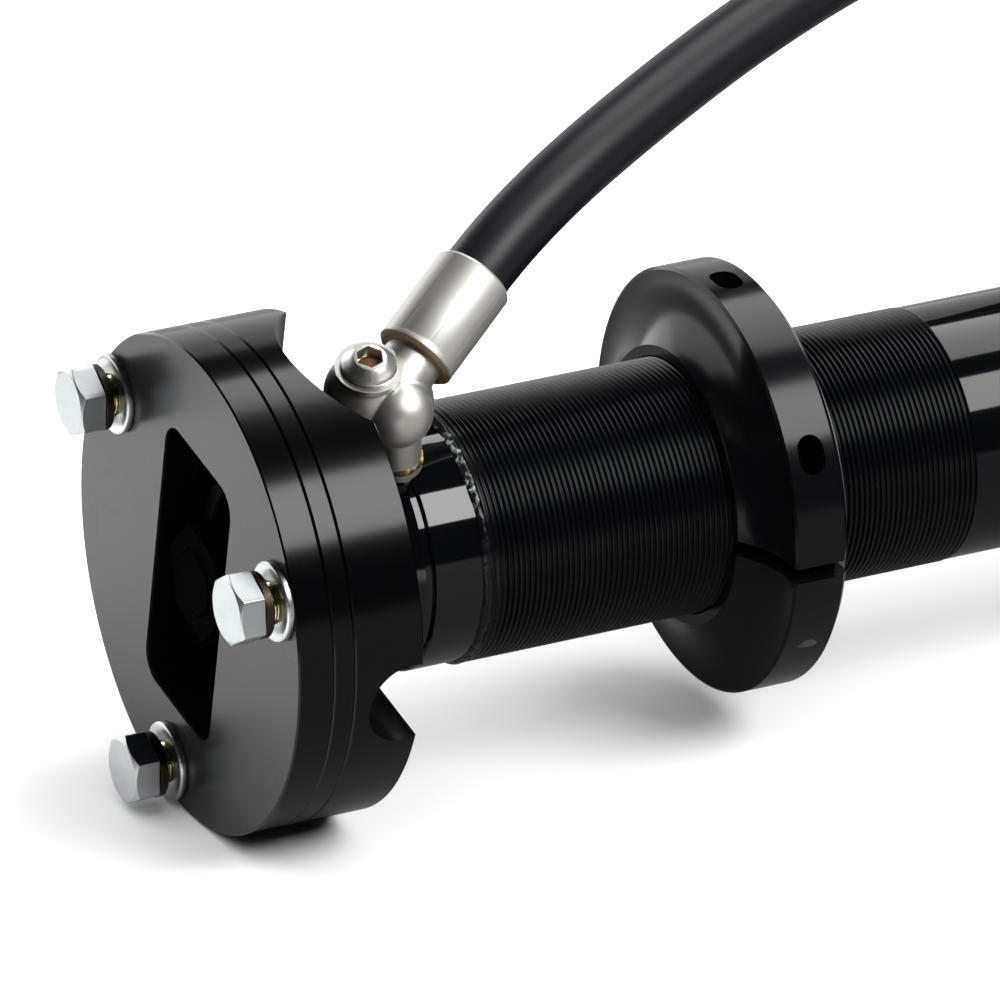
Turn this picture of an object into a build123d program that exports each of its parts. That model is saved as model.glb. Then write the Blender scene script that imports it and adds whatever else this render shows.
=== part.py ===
"""Adjustable telescopic hydraulic damper, body up, with a top mount and a remote reservoir.

Millimetres. The damper's axis is X and runs from the top mount (X = 0, the plate's
front face) to the lower eye. +Z is up: the damper lies on its side on Z = FLOOR_Z.
"""
from build123d import *
from math import cos, radians, sin, sqrt, tan
import os

# ---- driving dimensions ----------------------------------------------------------
MOUNT_R = 50.0              # outside radius of the three mount plates
FLOOR_Z = -MOUNT_R
TOP_PLATE_T = 7.5
SPACER_T = 4.5
HOUSING_T = 14.7
PLATE_EDGE = 0.35           # chamfer on the rims
SPACER_BORE_R = 25.0
BAY_R, BAY_X, BAY_FLOOR_R = 25.6, 42.7, 30.0
ROUND_BAY_R, ROUND_BAY_X, ROUND_BAY_FLOOR_R = 8.8, 24.2, 31.0
MOUNT_CLOCK = 12.0          # the whole mount is turned this far about X
BOLT_PCD_R = 42.5
BOLT_R = 4.0                # M8
BOLT_AF = 13.0
BOLT_HEAD_H = 5.3
BOLT_TIP_X = 19.5
FLAT_WASHER_R = 8.0
FLAT_WASHER_T = 1.6
SPRING_WASHER_R = 6.6
SPRING_WASHER_T = 2.0
SHANK_GAP = 1.8             # bare thread between the two washers
WINDOW_W, WINDOW_H, WINDOW_CORNER_R = 30.0, 60.0, 5.5

BEARING_X = 19.15           # centre of the spherical bearing
BALL_R = 14.0
BALL_W = 13.9
RACE_R = 19.0
RACE_W = 12.5
STUD_R = 7.0                # M14 top stud
STUD_WASHER_R = 12.0        # stays inside the race's mouth when the mount tilts
RUN_GAP = 0.05              # running clearance, on the radius

CAP_X0 = 30.0               # end cap, black gap behind the mount
NECK_X0 = 41.5
NECK_R = 25.3
SLEEVE_X0, SLEEVE_X1 = 53.3, 161.8
THREAD_R = 26.0             # M52 x 1.5 sleeve, crest radius
SLEEVE_BORE_R = 23.0
BODY_R = 25.85
BORE_R = 21.0               # bore of the pressure tube
BODY_X1 = 318.0
SEAL_HEAD_X1 = 330.0
SEAL_PLUG_X0 = 300.0

ROD_R = 10.0
ROD_STEP_X = 296.0          # shoulder that the piston stack sits against
ROD_X1 = 431.0
ROD_STUB_R = 6.0
ROD_THREAD_R = 7.0
PISTON_X0, PISTON_X1 = 277.0, 293.0
PISTON_R = 20.6
BAND_SEAT_R = 19.4
SHIM_RADII, SHIM_T = [17.5, 16.0, 14.0, 12.0], 0.75

PERCH_HUB_X, PERCH_RIM_X, PERCH_SEAT_X = 106.2, 112.0, 123.7
PERCH_R = 43.3
PERCH_BORE_R = 26.3
PERCH_LIP_R = 28.4
PERCH_FLARE_R = 22.0          # radius of the dished face's section
THRUST_RING_R, THRUST_RING_T = 37.0, 2.3
PERCH_REGISTER_R = 29.6     # spring register, 60 mm springs
SLIT_ANGLE, SLIT_W = 185.2, 3.3
PINCH_X, PINCH_REACH = 117.3, 35.6
PINCH_POCKET_R = 4.9
PINCH_R = 2.5               # M5 cap screw
TOMMY_SLOT_L, TOMMY_SLOT_W, TOMMY_SLOT_DEPTH = 8.0, 5.6, 8.0
TOMMY_SLOT_X = 117.1
TOMMY_ANGLES = [93.0, 153.0, 273.0, 333.0, 33.0]

LOWER_SEAT_R = 44.0
EYE_X, EYE_R, EYE_W = 472.0, 19.0, 18.0
EYE_BALL_R, EYE_BALL_W, EYE_BORE_R = 11.0, 16.0, 6.0    # M12 bolt
EYE_RACE_R, EYE_RACE_W = 14.0, 11.0
EYE_SPACER_L = 6.0
EYE_CLIP_Y, EYE_CLIP_T = 6.05, 1.1

RES_Y, RES_R, RES_BORE_R = 86.0, 24.0, 20.0
RES_Z = FLOOR_Z + RES_R
RES_HEAD_X0, RES_HEAD_X1, RES_TUBE_X1, RES_CAP_X1 = 292.0, 322.0, 418.0, 430.0
RES_GROOVE = 2.0            # groove at each end of the tube

# The oil line: port stem, ball and eye of the banjo, then the ferrule and the hose.
STEM_FOOT = Vector(40.5, -11.0, 22.8)
BANJO_BALL = Vector(38.0, -15.6, 35.4)
BANJO_EYE = Vector(33.9, -10.4, 38.3)
BANJO_SHOULDER = Vector(38.6, -11.8, 36.2)
BANJO_BALL_R, BANJO_EYE_R, BANJO_SHOULDER_R = 7.0, 8.3, 8.2
BANJO_SEAT = 6.2            # the spot face's height above the eye's centre
SCREW_DIR = Vector(-0.12, -0.41, 0.905).normalized()
HOSE_DIR = Vector(0.796, 0.32, 0.565).normalized()
FERRULE_R, FERRULE_L = 8.2, 21.5
HOSE_R = 6.95
RES_PORT = Vector(304.0, RES_Y, -10.0)
RES_PORT_DIR = Vector(0.60, 0.10, -0.794).normalized()

TAIL_ROOT = (BANJO_BALL + BANJO_EYE) * 0.5
FERRULE_START = TAIL_ROOT + HOSE_DIR * 11.0
HOSE_START = FERRULE_START + HOSE_DIR * FERRULE_L
RES_FERRULE_END = RES_PORT - RES_PORT_DIR * 21.0
HOSE_END = RES_FERRULE_END - RES_PORT_DIR * FERRULE_L
HOSE_ROUTE = [
    tuple(HOSE_START),
    tuple(HOSE_START + HOSE_DIR * 17.0),
    (121.8, 24, 77.0),
    (157, 37.5, 84.5),
    (193, 52, 87.2),
    (227.0, 66.0, 76.0),
    tuple(HOSE_END - RES_PORT_DIR * 36.0),
    tuple(HOSE_END),
]

os.makedirs("parts", exist_ok=True)


# ---- helpers ---------------------------------------------------------------------
LOW = (Align.CENTER, Align.CENTER, Align.MIN)   # a cylinder that stands on its start


def save(name, shape):
    """Write one node as parts/NAME.step."""
    export_step(shape, f"parts/{name}.step")


def disc(x0, x1, r):
    """A solid cylinder along X."""
    return Pos(x0, 0, 0) * Rot(0, 90, 0) * Cylinder(r, x1 - x0, align=LOW)


def ring(x0, x1, outer, inner):
    """A hollow cylinder along X."""
    return disc(x0, x1, outer) - disc(x0, x1, inner)


def turned(points):
    """A solid of revolution about X from a closed outline of (x, radius) points."""
    return revolve(make_face(Polyline(*points, close=True)), Axis.X, 360)


def hex_prism(x0, x1, across_flats, clock=0.0):
    """A hexagonal prism along X."""
    outline = RegularPolygon(across_flats / 2, 6, major_radius=False, rotation=clock)
    return extrude(Plane.YZ.offset(x0) * outline, x1 - x0)


def around(angle, shape):
    """A shape turned about the damper's axis."""
    return Rot(angle, 0, 0) * shape


def polar(x, r, angle):
    """A point at a radius and an angle from +Y, about the damper's axis."""
    return Vector(x, r * cos(radians(angle)), r * sin(radians(angle)))


def bar(start, end, r):
    """A cylinder from one point to another."""
    return Plane(origin=start, z_dir=end - start) * Cylinder(r, (end - start).length, align=LOW)


def in_reservoir(shape):
    """Move a shape built about X onto the reservoir's axis."""
    return Pos(0, RES_Y, RES_Z) * shape


# ---- top mount -------------------------------------------------------------------
SPACER_X1 = TOP_PLATE_T + SPACER_T
HOUSING_X1 = SPACER_X1 + HOUSING_T
BOLT_ANGLES = [MOUNT_CLOCK + 30 + 120 * k for k in range(3)]
BOLT_YZ = [polar(0, BOLT_PCD_R, a) for a in BOLT_ANGLES]
HEAD_X1 = -(FLAT_WASHER_T + SHANK_GAP + SPRING_WASHER_T)


def at_bolts(shape):
    """Three copies of a shape, one on each mount bolt's axis."""
    return [Pos(0, p.Y, p.Z) * shape for p in BOLT_YZ]


def mount_plate(x0, x1, edge):
    """One plate of the mount, with its rim edges broken."""
    blank = disc(x0, x1, MOUNT_R)
    return chamfer(blank.edges().filter_by(GeomType.CIRCLE), edge)


def window_cut():
    """The window through the top and spacer plates, which gives access to the stud nut."""
    outline = Plane.YZ * RectangleRounded(WINDOW_W, WINDOW_H, WINDOW_CORNER_R)
    return around(MOUNT_CLOCK, extrude(outline, SPACER_X1))


def make_top_plate():
    plate = mount_plate(0, TOP_PLATE_T, PLATE_EDGE) - window_cut()
    for hole in at_bolts(disc(0, TOP_PLATE_T, BOLT_R)):
        plate -= hole
    save("top_plate", plate)


def make_spacer_plate():
    plate = mount_plate(TOP_PLATE_T, SPACER_X1, PLATE_EDGE) - window_cut()
    plate -= disc(TOP_PLATE_T, SPACER_X1, SPACER_BORE_R)
    for hole in at_bolts(disc(TOP_PLATE_T, SPACER_X1, BOLT_R)):
        plate -= hole
    save("spacer_plate", plate)


def make_bearing_housing():
    race_x1 = BEARING_X + RACE_W / 2
    body = mount_plate(SPACER_X1, HOUSING_X1, PLATE_EDGE)
    body -= disc(SPACER_X1, race_x1, RACE_R)
    body -= disc(SPACER_X1 + 0.15, BEARING_X - RACE_W / 2, RACE_R + 0.7)
    body -= disc(race_x1, HOUSING_X1, 15.5)
    for hole in at_bolts(disc(SPACER_X1, BOLT_TIP_X + 2.5, BOLT_R)):
        body -= hole
    # A wide bay clears the oil union, and two round bays face each other across it.
    bay = Pos(BAY_X, 0, BAY_FLOOR_R) * Cylinder(BAY_R, 30, align=LOW)
    body -= around(MOUNT_CLOCK, bay)
    for side in (90, -90):
        round_bay = Pos(ROUND_BAY_X, 0, ROUND_BAY_FLOOR_R) * Cylinder(ROUND_BAY_R, 25, align=LOW)
        body -= around(MOUNT_CLOCK + side, round_bay)
    save("bearing_housing", body)


def make_mount_bearing():
    x0, x1 = BEARING_X - RACE_W / 2, BEARING_X + RACE_W / 2
    centre = Pos(BEARING_X, 0, 0)
    save("bearing_race", disc(x0, x1, RACE_R) - centre * Sphere(BALL_R + RUN_GAP))
    slab = disc(BEARING_X - BALL_W / 2, BEARING_X + BALL_W / 2, BALL_R + 1)
    save("bearing_ball", (centre * Sphere(BALL_R) & slab) - disc(0, 40, STUD_R + RUN_GAP))
    clip = ring(SPACER_X1 + 0.15, x0, RACE_R + 0.7, RACE_R - 2.2)
    gap = Pos(SPACER_X1, 0, -RACE_R) * Box(4, 6, 12)
    save("bearing_circlip", clip - around(MOUNT_CLOCK, gap))


def make_mount_bolts():
    head = hex_prism(HEAD_X1 - BOLT_HEAD_H, HEAD_X1, BOLT_AF)
    dome = turned([
        (HEAD_X1 - BOLT_HEAD_H, 0), (HEAD_X1 - BOLT_HEAD_H, BOLT_AF / 2 - 0.3),
        (HEAD_X1 - BOLT_HEAD_H + 0.9, BOLT_AF / 2 + 1.1),
        (HEAD_X1, BOLT_AF / 2 + 1.1), (HEAD_X1, 0),
    ])
    shank = disc(HEAD_X1, BOLT_TIP_X, BOLT_R)
    bolt = (head & dome) + chamfer(shank.edges().group_by(Axis.X)[-1], 0.8)
    turns = [8, -17, 25]
    bolts = [Pos(0, p.Y, p.Z) * Rot(t, 0, 0) * bolt for p, t in zip(BOLT_YZ, turns)]
    save("mount_bolts", Compound(bolts))
    flat = ring(-FLAT_WASHER_T, 0, FLAT_WASHER_R, BOLT_R + 0.2)
    save("flat_washers", Compound(at_bolts(flat)))
    spring = ring(HEAD_X1, HEAD_X1 + SPRING_WASHER_T, SPRING_WASHER_R, BOLT_R + 0.1)
    split = Pos(HEAD_X1 + SPRING_WASHER_T / 2, 0, -SPRING_WASHER_R) * Rot(30, 0, 0) * Box(4, 1.2, 6)
    save("spring_washers", Compound(at_bolts(spring - split)))


# ---- damper body -----------------------------------------------------------------
def make_top_stud():
    ball_x0, ball_x1 = BEARING_X - 7.0, BEARING_X + 7.0
    stud = disc(1.2, ball_x1, STUD_R) + disc(ball_x1, CAP_X0, 11.0) + disc(CAP_X0, 50.0, STUD_R)
    save("top_stud", chamfer(stud.edges().group_by(Axis.X)[0], 0.8))
    washer_x0 = ball_x0 - 2.5
    nut_x0 = washer_x0 - 8.0
    save("stud_washer", ring(washer_x0, ball_x0, STUD_WASHER_R, STUD_R))
    nut = hex_prism(nut_x0, washer_x0, 21.0, 17) & disc(nut_x0, washer_x0, 11.7)
    save("stud_nut", nut - disc(0, 20, STUD_R))


def make_end_cap():
    cap = turned([
        (CAP_X0, 0), (CAP_X0, 13), (33.5, 22.6), (39.8, 24.6), (NECK_X0 - 0.3, 24.6),
        (NECK_X0 - 0.3, NECK_R - 0.4), (NECK_X0 + 0.2, NECK_R), (SLEEVE_X0, NECK_R),
        (SLEEVE_X0, BORE_R - RUN_GAP), (66, BORE_R - RUN_GAP), (66, 0),
    ])
    cap -= disc(CAP_X0, 50.0, STUD_R)
    cap -= stem_bar()
    save("end_cap", cap)


def stem_bar():
    """The straight part of the port stem, sunk 3 mm into the end cap."""
    axis = (BANJO_BALL - STEM_FOOT).normalized()
    return bar(STEM_FOOT - axis * 3.0, BANJO_BALL - axis * 4.0, 4.6)


def make_sleeve():
    save("threaded_sleeve", ring(SLEEVE_X0, SLEEVE_X1, THREAD_R, SLEEVE_BORE_R))
    save("sleeve_bead", ring(SLEEVE_X0 - 1.2, SLEEVE_X0, THREAD_R + 0.1, NECK_R))


def make_damper_tube():
    tube = disc(SLEEVE_X0, SLEEVE_X1, SLEEVE_BORE_R) + disc(SLEEVE_X1, BODY_X1, BODY_R)
    save("damper_tube", tube - disc(SLEEVE_X0, BODY_X1, BORE_R))


def make_seal_head():
    plug = turned([
        (SEAL_PLUG_X0, 10.6), (SEAL_PLUG_X0, BORE_R - RUN_GAP), (BODY_X1, BORE_R - RUN_GAP),
        (BODY_X1, BODY_R), (SEAL_HEAD_X1 - 1, BODY_R), (SEAL_HEAD_X1, BODY_R - 1),
        (SEAL_HEAD_X1, 10.6),
    ])
    plug -= disc(302, 312, 11.5)
    plug -= disc(314, 319, 13.0)
    plug -= disc(325, SEAL_HEAD_X1, 14.0)
    plug -= ring(306, 309, BORE_R, 18.6)
    for k in range(4):
        hole = polar(0, 20, 45 + 90 * k)
        plug -= Pos(0, hole.Y, hole.Z) * disc(SEAL_HEAD_X1 - 4, SEAL_HEAD_X1, 2.0)
    save("seal_head", plug)
    save("rod_bush", ring(302, 312, 11.5, ROD_R + RUN_GAP))
    save("rod_seal", ring(314, 319, 13.0, ROD_R + RUN_GAP))
    wiper_r, lip_x = ROD_R + RUN_GAP, SEAL_HEAD_X1 + 1.4
    wiper = [(325, wiper_r), (325, 14.0), (SEAL_HEAD_X1, 14.0), (lip_x, 11.6), (lip_x, wiper_r)]
    save("rod_wiper", turned(wiper))
    save("seal_head_oring", ring(306, 309, BORE_R, 18.6))


# ---- oil line --------------------------------------------------------------------
def make_port_stem():
    save("port_stem", stem_bar() - banjo_lump())


def banjo_lump():
    """The cast body of the union: ball, eye and the shoulder that joins them to the tail."""
    ball = Pos(*BANJO_BALL) * Sphere(BANJO_BALL_R)
    eye = Pos(*BANJO_EYE) * Sphere(BANJO_EYE_R)
    return ball + eye + Pos(*BANJO_SHOULDER) * Sphere(BANJO_SHOULDER_R)


def make_banjo():
    seat = BANJO_EYE + SCREW_DIR * BANJO_SEAT
    tail = bar(TAIL_ROOT, FERRULE_START, 6.0)
    screw_hole = bar(seat - SCREW_DIR * 9.0, seat, 3.5)
    on_seat = Plane(origin=seat, z_dir=SCREW_DIR)
    body = (banjo_lump() + tail) - screw_hole - on_seat * Cylinder(7.2, 12, align=LOW)
    save("banjo_fitting", body)
    washer = on_seat * (Cylinder(6.7, 1.2, align=LOW) - Cylinder(3.5, 1.2, align=LOW))
    save("banjo_seal_washer", washer)
    head = chamfer(Cylinder(5.4, 3.0, align=LOW).edges().group_by(Axis.Z)[-1], 1.1)
    socket = extrude(Plane.XY.offset(1.0) * RegularPolygon(2.5, 6, major_radius=False, rotation=20), 2.5)
    shank = Pos(0, 0, -10.2) * Cylinder(3.5, 10.2, align=LOW)
    save("banjo_screw", on_seat * Pos(0, 0, 1.2) * (head - socket + shank))


def ferrule(start, direction):
    """A crimped hose ferrule with a rolled collar at the union's end."""
    profile = Polyline(
        (0, 0), (FERRULE_R - 0.6, 0), (FERRULE_R, 0.8), (FERRULE_R, FERRULE_L - 0.9),
        (FERRULE_R - 0.8, FERRULE_L), (0, FERRULE_L), close=True,
    )
    return Plane(origin=start, z_dir=direction) * revolve(Plane.XZ * make_face(profile), Axis.Z, 360)


def make_hose():
    save("hose_ferrule", ferrule(FERRULE_START, HOSE_DIR))
    save("reservoir_ferrule", ferrule(RES_FERRULE_END, RES_PORT_DIR * -1))
    points = [Vector(*p) for p in HOSE_ROUTE]
    runs = [b - a for a, b in zip(points, points[1:])]
    radii = []
    for before, after in zip(runs, runs[1:]):
        half_turn = radians(before.get_angle(after)) / 2
        radii.append(0.45 * min(before.length, after.length) / tan(half_turn))
    path = FilletPolyline(*points, radius=radii)
    section = Plane(origin=points[0], z_dir=runs[0]) * Circle(HOSE_R)
    hose = sweep(section, path=path)
    save("hose", hose)
    share = hose.volume / (Circle(HOSE_R).area * path.length)
    print("hose bend radii", [round(r, 1) for r in radii])
    print("hose length", round(path.length, 1), "volume against pi r^2 L", round(share, 4))


# ---- reservoir -------------------------------------------------------------------
def make_reservoir():
    head = turned([
        (RES_HEAD_X0, 0), (RES_HEAD_X0, RES_R - 2), (RES_HEAD_X0 + 2, RES_R),
        (RES_HEAD_X1 - RES_GROOVE, RES_R), (RES_HEAD_X1 - RES_GROOVE, RES_R - 1),
        (RES_HEAD_X1, RES_R - 1), (RES_HEAD_X1, RES_BORE_R),
        (RES_HEAD_X1 + 10, RES_BORE_R), (RES_HEAD_X1 + 10, 0),
    ])
    head -= disc(RES_HEAD_X0, RES_HEAD_X0 + 8, 5.0)
    head = in_reservoir(head)
    collar = RES_PORT - RES_PORT_DIR * 15.0
    union = bar(collar, RES_PORT, 7.5) + bar(RES_FERRULE_END, collar, 6.2)
    save("reservoir_head", head - union)
    save("reservoir_union", union)
    tube = disc(RES_HEAD_X1, RES_TUBE_X1, RES_R) - disc(RES_HEAD_X1, RES_TUBE_X1, RES_BORE_R)
    save("reservoir_tube", in_reservoir(tube))
    cap = turned([
        (RES_TUBE_X1 - 8, 0), (RES_TUBE_X1 - 8, RES_BORE_R), (RES_TUBE_X1, RES_BORE_R),
        (RES_TUBE_X1, RES_R - 1), (RES_TUBE_X1 + RES_GROOVE, RES_R - 1),
        (RES_TUBE_X1 + RES_GROOVE, RES_R), (RES_CAP_X1 - 2, RES_R), (RES_CAP_X1, RES_R - 2),
        (RES_CAP_X1, 0),
    ])
    save("reservoir_end_cap", in_reservoir(cap - disc(RES_TUBE_X1, RES_CAP_X1, 4.0)))
    valve = disc(RES_TUBE_X1, RES_CAP_X1, 4.0) + disc(RES_CAP_X1, RES_CAP_X1 + 3, 5.5)
    valve += disc(RES_CAP_X1 + 3, RES_CAP_X1 + 9, 4.2)
    save("gas_valve", in_reservoir(valve))
    piston = disc(345, 361, RES_BORE_R - RUN_GAP) - disc(352, 361, 9.0)
    groove = ring(351.5, 354.5, RES_BORE_R + 1, RES_BORE_R - 2.2)
    save("floating_piston", in_reservoir(piston - groove))
    save("floating_piston_oring", in_reservoir(ring(351.5, 354.5, RES_BORE_R - RUN_GAP, RES_BORE_R - 2.2)))


def make_compression_knobs():
    outer = ring(RES_HEAD_X0 - 8, RES_HEAD_X0 - 0.4, 14.0, 8.3)
    for k in range(12):
        outer -= around(30 * k, Pos(RES_HEAD_X0 - 4, 15.2, 0) * Rot(0, 90, 0) * Cylinder(2.2, 12))
    save("high_speed_knob", in_reservoir(outer))
    inner = disc(RES_HEAD_X0 - 13, RES_HEAD_X0 - 0.4, 8.0) + disc(RES_HEAD_X0 - 0.4, RES_HEAD_X0 + 7, 4.9)
    for k in range(8):
        inner -= around(45 * k, Pos(RES_HEAD_X0 - 11.5, 9.0, 0) * Rot(0, 90, 0) * Cylinder(1.8, 5))
    save("low_speed_knob", in_reservoir(inner))


# ---- spring perch ----------------------------------------------------------------
def make_spring_perch():
    face_x, face_r = PERCH_RIM_X - 0.4, PERCH_R - 0.7

    def dish(r):
        """How far along the axis the dished face lies at a radius."""
        return face_x - PERCH_FLARE_R + sqrt(PERCH_FLARE_R ** 2 - (face_r - r) ** 2)

    foot = (dish(PERCH_LIP_R), PERCH_LIP_R)
    middle = (face_r + PERCH_LIP_R) / 2
    outline = [
        Polyline((PERCH_HUB_X, PERCH_BORE_R), (PERCH_HUB_X, PERCH_LIP_R), foot),
        ThreePointArc(foot, (dish(middle), middle), (face_x, face_r)),
        Polyline(
            (face_x, face_r), (PERCH_RIM_X, PERCH_R), (PERCH_SEAT_X - 1.5, PERCH_R),
            (PERCH_SEAT_X, PERCH_R - 1.8), (PERCH_SEAT_X, PERCH_REGISTER_R),
            (PERCH_SEAT_X + 4.0, PERCH_REGISTER_R - 0.8), (PERCH_SEAT_X + 4.0, PERCH_BORE_R),
            (PERCH_HUB_X, PERCH_BORE_R),
        ),
    ]
    perch = around(300, revolve(make_face(outline), Axis.X, 360))   # the seam kept off the slots
    for angle in TOMMY_ANGLES:
        outward, round_rim = polar(0, 1, angle), polar(0, 1, angle + 90)
        bottom = polar(TOMMY_SLOT_X, PERCH_R - TOMMY_SLOT_DEPTH, angle)
        slot = extrude(SlotOverall(TOMMY_SLOT_L, TOMMY_SLOT_W), TOMMY_SLOT_DEPTH + 3)
        perch -= Plane(origin=bottom, x_dir=round_rim, z_dir=outward) * slot
    slit = Pos(PERCH_RIM_X, 35.0, 0) * Box(60, 24, SLIT_W)
    perch -= around(SLIT_ANGLE, slit)
    across = polar(0, 1, SLIT_ANGLE + 90)
    pinch = polar(PINCH_X, PINCH_REACH, SLIT_ANGLE)
    shoulder = pinch + across * 13.5
    perch -= bar(shoulder, pinch + across * 40, PINCH_POCKET_R)
    perch -= bar(pinch - across * 15, shoulder, PINCH_R)
    save("spring_perch", perch)
    head = Cylinder(4.25, 5.0, align=LOW)
    head -= extrude(Plane.XY.offset(2.5) * RegularPolygon(2.0, 6, major_radius=False), 3)
    screw = Plane(origin=shoulder, z_dir=across) * head + bar(pinch - across * 13, shoulder, PINCH_R)
    save("pinch_screw", screw)
    # The plastic ring between spring and perch doesn't turn, so it carries the perch's travel.
    thrust_x = PERCH_SEAT_X + 0.1
    thrust = ring(thrust_x, thrust_x + THRUST_RING_T, THRUST_RING_R, PERCH_REGISTER_R + 0.3)
    save("spring_thrust_ring", thrust)


# ---- rod, piston and lower eye ---------------------------------------------------
def shim_stack(face_x, step):
    """Four shims against a piston face, the widest next to it."""
    shims = []
    for k, r in enumerate(SHIM_RADII):
        near, far = sorted((face_x + step * k, face_x + step * (k + 1)))
        shims.append(ring(near, far, r, ROD_STUB_R))
    return sum(shims[1:], shims[0])


def make_piston_rod():
    stub = disc(262, ROD_STEP_X, ROD_STUB_R)
    threaded_end = disc(ROD_X1, 452, ROD_THREAD_R)
    save("piston_rod", stub + disc(ROD_STEP_X, ROD_X1, ROD_R) + threaded_end)
    band_x0, band_x1 = PISTON_X0 + 4, PISTON_X1 - 4
    piston = ring(PISTON_X0, PISTON_X1, PISTON_R, ROD_STUB_R)
    piston -= ring(band_x0, band_x1, PISTON_R + 1, BAND_SEAT_R)
    for k in range(6):
        hole = polar(0, 14.0, 60 * k)
        piston -= Pos(0, hole.Y, hole.Z) * disc(PISTON_X0, PISTON_X1, 2.3)
    save("piston", piston)
    save("piston_band", ring(band_x0, band_x1, BORE_R - RUN_GAP, BAND_SEAT_R))
    save("rebound_shims", shim_stack(PISTON_X1, SHIM_T))
    save("compression_shims", shim_stack(PISTON_X0, -SHIM_T))
    save("piston_nut", hex_prism(265, 274, 19) - disc(264, 275, ROD_STUB_R))


def make_bump_stop():
    cells = [
        (392, 13.5), (395, 16.5), (400, 18), (404, 14.5),
        (408, 18.5), (412, 15), (417, 19), (422, 18.5),
    ]
    save("bump_stop", turned([(392, ROD_R)] + cells + [(422, ROD_R)]))


def make_lower_spring_seat():
    seat = [
        (422, ROD_R), (422, PERCH_REGISTER_R - 0.8), (425.5, PERCH_REGISTER_R), (425.5, 42.8),
        (426.7, LOWER_SEAT_R), (429.8, LOWER_SEAT_R), (ROD_X1, 42.8), (ROD_X1, ROD_R),
    ]
    save("lower_spring_seat", turned(seat))


def across_eye(r, width, y=0.0):
    """A cylinder along Y through the lower eye."""
    return Pos(EYE_X, y, 0) * Rot(90, 0, 0) * Cylinder(r, width)


def make_lower_eye():
    save("eye_lock_nut", hex_prism(ROD_X1, 439, 24, 10) - disc(430, 440, ROD_THREAD_R))
    body = disc(439, 460, 12.5) + across_eye(EYE_R, EYE_W)
    body -= disc(439, 452, ROD_THREAD_R)
    body -= across_eye(EYE_RACE_R, EYE_W)
    for side in (-1, 1):
        body -= across_eye(EYE_RACE_R + 0.8, EYE_CLIP_T, side * EYE_CLIP_Y)
    save("lower_eye", body)
    centre = Pos(EYE_X, 0, 0)
    save("lower_race", across_eye(EYE_RACE_R, EYE_RACE_W) - centre * Sphere(EYE_BALL_R + RUN_GAP))
    ball = centre * (Sphere(EYE_BALL_R) & Box(30, EYE_BALL_W, 30))
    save("lower_ball", ball - across_eye(EYE_BORE_R, 30))
    gap = Pos(EYE_RACE_R, 0, 0) * Box(8, 5, 4)
    clip = Cylinder(EYE_RACE_R + 0.8, EYE_CLIP_T) - Cylinder(EYE_RACE_R - 1.6, EYE_CLIP_T) - gap
    clips = [Pos(EYE_X, side * EYE_CLIP_Y, 0) * Rot(90, 0, 0) * clip for side in (-1, 1)]
    save("lower_circlips", Compound(clips))
    spacer = Cone(7.4, 9.5, EYE_SPACER_L) - Cylinder(EYE_BORE_R, EYE_SPACER_L)
    reach = (EYE_BALL_W + EYE_SPACER_L) / 2
    spacers = [Pos(EYE_X, side * reach, 0) * Rot(-90 * side, 0, 0) * spacer for side in (-1, 1)]
    save("lower_spacers", Compound(spacers))


def make_rebound_knob():
    wheel = ring(441, 449, 17.0, 12.8)
    for k in range(16):
        wheel -= around(22.5 * k, Pos(445, 18.0, 0) * Rot(0, 90, 0) * Cylinder(1.9, 10))
    save("rebound_knob", wheel)


for make in (
    make_top_plate, make_spacer_plate, make_bearing_housing, make_mount_bearing, make_mount_bolts,
    make_top_stud, make_end_cap, make_sleeve, make_damper_tube, make_seal_head, make_port_stem,
    make_banjo, make_hose, make_reservoir, make_compression_knobs, make_spring_perch,
    make_piston_rod, make_bump_stop, make_lower_spring_seat, make_lower_eye, make_rebound_knob,
):
    make()
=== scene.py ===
"""Looks for the adjustable telescopic damper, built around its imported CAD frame. Metres."""
import math

import bmesh
import bpy
from mathutils import Matrix, Vector, noise


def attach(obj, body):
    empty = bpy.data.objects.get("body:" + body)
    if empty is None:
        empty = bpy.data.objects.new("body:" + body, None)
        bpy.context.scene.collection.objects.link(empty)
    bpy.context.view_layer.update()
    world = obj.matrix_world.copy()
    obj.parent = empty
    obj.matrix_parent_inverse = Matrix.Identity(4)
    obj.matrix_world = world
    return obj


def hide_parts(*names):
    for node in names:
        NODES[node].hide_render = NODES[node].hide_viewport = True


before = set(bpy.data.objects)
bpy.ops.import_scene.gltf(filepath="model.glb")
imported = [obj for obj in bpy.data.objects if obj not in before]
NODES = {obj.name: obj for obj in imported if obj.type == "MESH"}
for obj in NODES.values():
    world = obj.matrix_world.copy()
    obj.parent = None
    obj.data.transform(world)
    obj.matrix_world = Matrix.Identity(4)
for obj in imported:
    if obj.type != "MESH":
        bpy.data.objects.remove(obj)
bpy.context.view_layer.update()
MM = 0.001

# ---- camera ----------------------------------------------------------------------
CAMERA_AT = Vector((-0.79456, -1.71021, 0.86138))
CAMERA_FORWARD = Vector((0.41114, 0.81497, -0.40839))
SENSOR_WIDTH, FOCAL_LENGTH = 36.0, 382.6
camera_data = bpy.data.cameras.new("camera")
camera_data.sensor_width = SENSOR_WIDTH
camera_data.lens = FOCAL_LENGTH
camera_data.clip_start = 0.1
camera_data.clip_end = 50.0
camera = bpy.data.objects.new("camera", camera_data)
camera.location = CAMERA_AT
camera.rotation_mode = "QUATERNION"
camera.rotation_quaternion = CAMERA_FORWARD.to_track_quat("-Z", "Y")
bpy.context.scene.collection.objects.link(camera)
bpy.context.scene.camera = camera


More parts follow.
